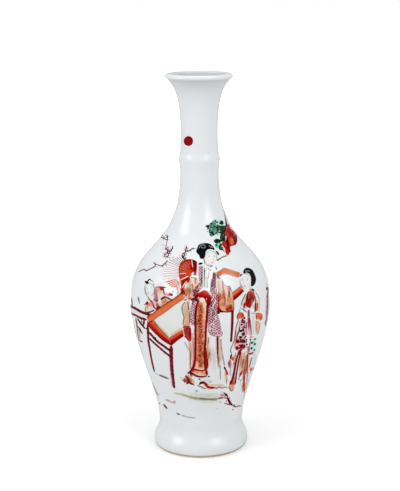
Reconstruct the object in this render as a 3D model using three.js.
// A long-neck porcelain vase: five thrown and turned sections luted together with slip,
// the way a tall baluster body with a trumpet neck is made at a pottery.
// Millimetres, +Z up. The origin is the centre of the foot rim's resting face.
import * as THREE from "three";

// Driving heights, each counted up from the landmark before it
const FOOT_SWELL_HEIGHT = 3.6; // resting face to the widest line of the foot
const FLARE_HEIGHT = 16.4; // widest foot line to the waist
const LOWER_BODY_HEIGHT = 92; // waist to the widest line of the belly
const SHOULDER_HEIGHT = 98; // belly line to the hollow under the neck's bamboo node
const NODE_RISE = 8.6; // hollow to the node's crest
const NODE_FALL = 7; // crest to the plain neck above it
const NECK_TAPER_HEIGHT = 11; // node to the slimmest line of the neck
const TRUMPET_HEIGHT = 39.6; // slimmest line to the underside of the lip
const LIP_ROLL_HEIGHT = 3.8; // underside of the lip to its top

// Driving radii of the outside
const FOOT_CONTACT_RADIUS = 33.2;
const FOOT_SWELL_RADIUS = 35.4;
const WAIST_RADIUS = 31.4;
const BELLY_RADIUS = 52.1;
const HOLLOW_RADIUS = 14.15;
const NODE_RADIUS = 14.95;
const NODE_TOP_RADIUS = 13.85;
const SLIM_NECK_RADIUS = 13.4;
const LIP_UNDERSIDE_RADIUS = 22.9;
const LIP_RADIUS = 24.5;

// Fullness of each swelling curve: how far it keeps to the vertical before it bends
const WAIST_FULLNESS = 22;
const LOWER_BELLY_FULLNESS = 31;
const UPPER_BELLY_FULLNESS = 49;
const SHOULDER_FULLNESS = 63;
const TRUMPET_FULLNESS = 27;
const TRUMPET_FLARE = 5.5;

// Walls, floor and foot
const BODY_WALL = 4;
const NECK_WALL = 3.2;
const LIP_WALL = 2.9;
const FLOOR_THICKNESS = 5;
const FOOT_RECESS_DEPTH = 8;
const FOOT_RIM_WIDTH = 3.4; // width of the flat that the vase stands on
const FOOT_RIM_EASE = 1; // eased inner corner of the foot rim
const RECESS_FILLET = 2.5;
const FLOOR_FILLET_RADIUS = 9;

// Luting joints: a bed of slip between two sections, squeezed out in a bead inside
const SLIP_THICKNESS = 0.8;
const SLIP_BEAD = 0.9;
const WAIST_JOINT_LIFT = 4; // joint plane above the waist
const SHOULDER_JOINT_DROP = 38; // joint plane below the hollow under the node
const NODE_JOINT_LIFT = 3.4; // joint plane above the hollow, hidden under the node

// Facets
const FACETS_ROUND = 48;
const FACETS_FOOT = 3;
const FACETS_FLARE = 4;
const FACETS_LOWER_BODY = 8;
const FACETS_SHOULDER = 10;
const FACETS_NODE = 3;
const FACETS_TRUMPET = 7;
const FACETS_LIP = 6;
const FACETS_FILLET = 3;

// Landmark heights
const footSwell = FOOT_SWELL_HEIGHT;
const waist = footSwell + FLARE_HEIGHT;
const belly = waist + LOWER_BODY_HEIGHT;
const hollow = belly + SHOULDER_HEIGHT;
const nodeCrest = hollow + NODE_RISE;
const nodeTop = nodeCrest + NODE_FALL;
const slimNeck = nodeTop + NECK_TAPER_HEIGHT;
const lipUnderside = slimNeck + TRUMPET_HEIGHT;
const lipTop = lipUnderside + LIP_ROLL_HEIGHT;
const floorTop = FOOT_RECESS_DEPTH + FLOOR_THICKNESS;

const at = (radius, height) => new THREE.Vector2(radius, height);

// Points of a cubic curve from one landmark to the next, without its first point.
function sweep(from, fromHandle, toHandle, to, steps) {
  const curve = new THREE.CubicBezierCurve(from, fromHandle, toHandle, to);
  return curve.getPoints(steps).slice(1);
}

// A curve that leaves and arrives upright, as a swelling wall does.
function swell(from, to, fromFullness, toFullness, steps) {
  return sweep(
    from,
    at(from.x, from.y + fromFullness),
    at(to.x, to.y - toFullness),
    to,
    steps,
  );
}

// The outside of the vase from the foot's contact line to the underside of the lip.
function outsideOutline() {
  const foot = at(FOOT_CONTACT_RADIUS, 0);
  const footLine = at(FOOT_SWELL_RADIUS, footSwell);
  const waistLine = at(WAIST_RADIUS, waist);
  const bellyLine = at(BELLY_RADIUS, belly);
  const hollowLine = at(HOLLOW_RADIUS, hollow);
  const crestLine = at(NODE_RADIUS, nodeCrest);
  const nodeTopLine = at(NODE_TOP_RADIUS, nodeTop);
  const slimLine = at(SLIM_NECK_RADIUS, slimNeck);
  const lipLine = at(LIP_UNDERSIDE_RADIUS, lipUnderside);
  const flareBend = FLARE_HEIGHT / 2;
  const footBend = (FOOT_SWELL_RADIUS - FOOT_CONTACT_RADIUS) / 2;
  return [
    foot,
    ...sweep(
      foot,
      at(foot.x + footBend, foot.y),
      at(footLine.x, footLine.y - footSwell / 2),
      footLine,
      FACETS_FOOT,
    ),
    ...swell(footLine, waistLine, flareBend, flareBend, FACETS_FLARE),
    ...swell(waistLine, bellyLine, WAIST_FULLNESS, LOWER_BELLY_FULLNESS, FACETS_LOWER_BODY),
    ...swell(bellyLine, hollowLine, UPPER_BELLY_FULLNESS, SHOULDER_FULLNESS, FACETS_SHOULDER),
    ...swell(hollowLine, crestLine, NODE_RISE / 2, NODE_RISE / 3, FACETS_NODE),
    ...swell(crestLine, nodeTopLine, NODE_FALL / 3, NODE_FALL / 2, FACETS_NODE),
    ...swell(nodeTopLine, slimLine, NECK_TAPER_HEIGHT / 3, NECK_TAPER_HEIGHT / 3, 1),
    ...sweep(
      slimLine,
      at(slimLine.x, slimLine.y + TRUMPET_FULLNESS),
      at(lipLine.x - TRUMPET_FLARE, lipLine.y - TRUMPET_FLARE),
      lipLine,
      FACETS_TRUMPET,
    ),
  ];
}

// Wall thickness at a height: full up to the belly, thinning towards the neck and the lip.
function wallAt(height) {
  const toNeck = THREE.MathUtils.smoothstep(height, belly, hollow);
  const toLip = THREE.MathUtils.smoothstep(height, slimNeck, lipUnderside);
  const wall = THREE.MathUtils.lerp(BODY_WALL, NECK_WALL, toNeck);
  return THREE.MathUtils.lerp(wall, LIP_WALL, toLip);
}

// The inside of the wall: the outside moved in square to itself, with the turned ridge
// of the node left out, because a thrown neck is smooth inside.
function insideOutline(outside) {
  return outside.flatMap((point, i) => {
    if (i === 0 || i === outside.length - 1) return [];
    if (point.y < waist || (point.y > hollow && point.y < nodeTop)) return [];
    const along = outside[i + 1].clone().sub(outside[i - 1]).normalize();
    const wall = wallAt(point.y);
    return [at(point.x - along.y * wall, point.y + along.x * wall)];
  });
}

// The rounded lip, from its underside over the top to its inner edge.
function lipOutline() {
  const innerEdge = at(LIP_UNDERSIDE_RADIUS - LIP_WALL, lipUnderside);
  const middle = (LIP_RADIUS + innerEdge.x) / 2;
  const points = [];
  for (let i = 1; i < FACETS_LIP; i += 1) {
    const turn = THREE.MathUtils.lerp(-Math.PI / 6, Math.PI, i / FACETS_LIP);
    points.push(
      at(
        middle + (LIP_RADIUS - middle) * Math.cos(turn),
        lipUnderside + LIP_ROLL_HEIGHT * (0.5 + 0.5 * Math.sin(turn)),
      ),
    );
  }
  return [...points, innerEdge];
}

const outside = outsideOutline();
const inside = insideOutline(outside);

// The stretch of an outline between two heights, cut exactly at both.
function stretch(outline, low, high) {
  const cutAt = (height) => {
    const i = outline.findIndex((point) => point.y >= height);
    const [a, b] = [outline[i - 1], outline[i]];
    return a.clone().lerp(b, (height - a.y) / (b.y - a.y));
  };
  const between = outline.filter((point) => point.y > low + 1e-6 && point.y < high - 1e-6);
  return [cutAt(low), ...between, cutAt(high)];
}

// Joint planes: the lower section ends here and the slip bed starts.
const waistJoint = waist + WAIST_JOINT_LIFT;
const bellyJoint = belly;
const shoulderJoint = hollow - SHOULDER_JOINT_DROP;
const nodeJoint = hollow + NODE_JOINT_LIFT;

// A closed profile turned round the vase's axis, as a named mesh.
function turned(name, profile, material) {
  const loop = [...profile, profile[0].clone()];
  const geometry = new THREE.LatheGeometry(loop, FACETS_ROUND);
  geometry.rotateX(Math.PI / 2);
  const mesh = new THREE.Mesh(geometry, material);
  mesh.name = name;
  return mesh;
}

const porcelain = new THREE.MeshStandardMaterial({
  color: 0xe9eef0,
  roughness: 0.22,
  metalness: 0,
});
const slip = new THREE.MeshStandardMaterial({
  color: 0xe4e2da,
  roughness: 0.75,
  metalness: 0,
});

// The spreading foot with its turned recess and the floor of the vase.
function footSection() {
  const outer = [outside[0], ...stretch(outside, 0.001, waistJoint).slice(1)];
  const joint = stretch(inside, waistJoint, belly)[0];
  const rimInner = FOOT_CONTACT_RADIUS - FOOT_RIM_WIDTH;
  const recessRadius = rimInner - FOOT_RIM_EASE;
  const filletCentre = at(joint.x - FLOOR_FILLET_RADIUS, floorTop + FLOOR_FILLET_RADIUS);
  const floorFillet = [];
  for (let i = 0; i <= FACETS_FILLET; i += 1) {
    const turn = (-Math.PI / 2) * (i / FACETS_FILLET);
    floorFillet.push(
      at(
        filletCentre.x + FLOOR_FILLET_RADIUS * Math.cos(turn),
        filletCentre.y + FLOOR_FILLET_RADIUS * Math.sin(turn),
      ),
    );
  }
  return turned(
    "foot_section",
    [
      at(0, FOOT_RECESS_DEPTH),
      at(recessRadius - RECESS_FILLET, FOOT_RECESS_DEPTH),
      at(recessRadius, FOOT_RECESS_DEPTH - RECESS_FILLET),
      at(recessRadius, FOOT_RIM_EASE),
      at(rimInner, 0),
      ...outer,
      joint,
      ...floorFillet,
      at(0, floorTop),
    ],
    porcelain,
  );
}

// A thrown ring of wall between two joint planes.
function wallSection(name, low, high) {
  return turned(
    name,
    [...stretch(outside, low, high), ...stretch(inside, low, high).reverse()],
    porcelain,
  );
}

// The flared mouth with its rolled lip and the neck down to the node.
function mouthSection() {
  const low = nodeJoint + SLIP_THICKNESS;
  const outer = [...stretch(outside, low, lipUnderside - 0.001).slice(0, -1), outside.at(-1)];
  const top = inside.at(-1).y;
  return turned(
    "mouth_section",
    [...outer, ...lipOutline(), ...stretch(inside, low, top).reverse()],
    porcelain,
  );
}

// A bed of slip on a joint plane, flush outside and squeezed out in a bead inside.
function slipBed(name, low) {
  const high = low + SLIP_THICKNESS;
  const inner = stretch(inside, low, high);
  const bead = at(inner[0].x - SLIP_BEAD, low + SLIP_THICKNESS / 2);
  return turned(name, [...stretch(outside, low, high), inner.at(-1), bead, inner[0]], slip);
}

const vase = new THREE.Group();
vase.add(
  footSection(),
  slipBed("waist_slip", waistJoint),
  wallSection("lower_body_section", waistJoint + SLIP_THICKNESS, bellyJoint),
  slipBed("belly_slip", bellyJoint),
  wallSection("shoulder_section", bellyJoint + SLIP_THICKNESS, shoulderJoint),
  slipBed("shoulder_slip", shoulderJoint),
  wallSection("neck_section", shoulderJoint + SLIP_THICKNESS, nodeJoint),
  slipBed("node_slip", nodeJoint),
  mouthSection(),
);
export default vase;
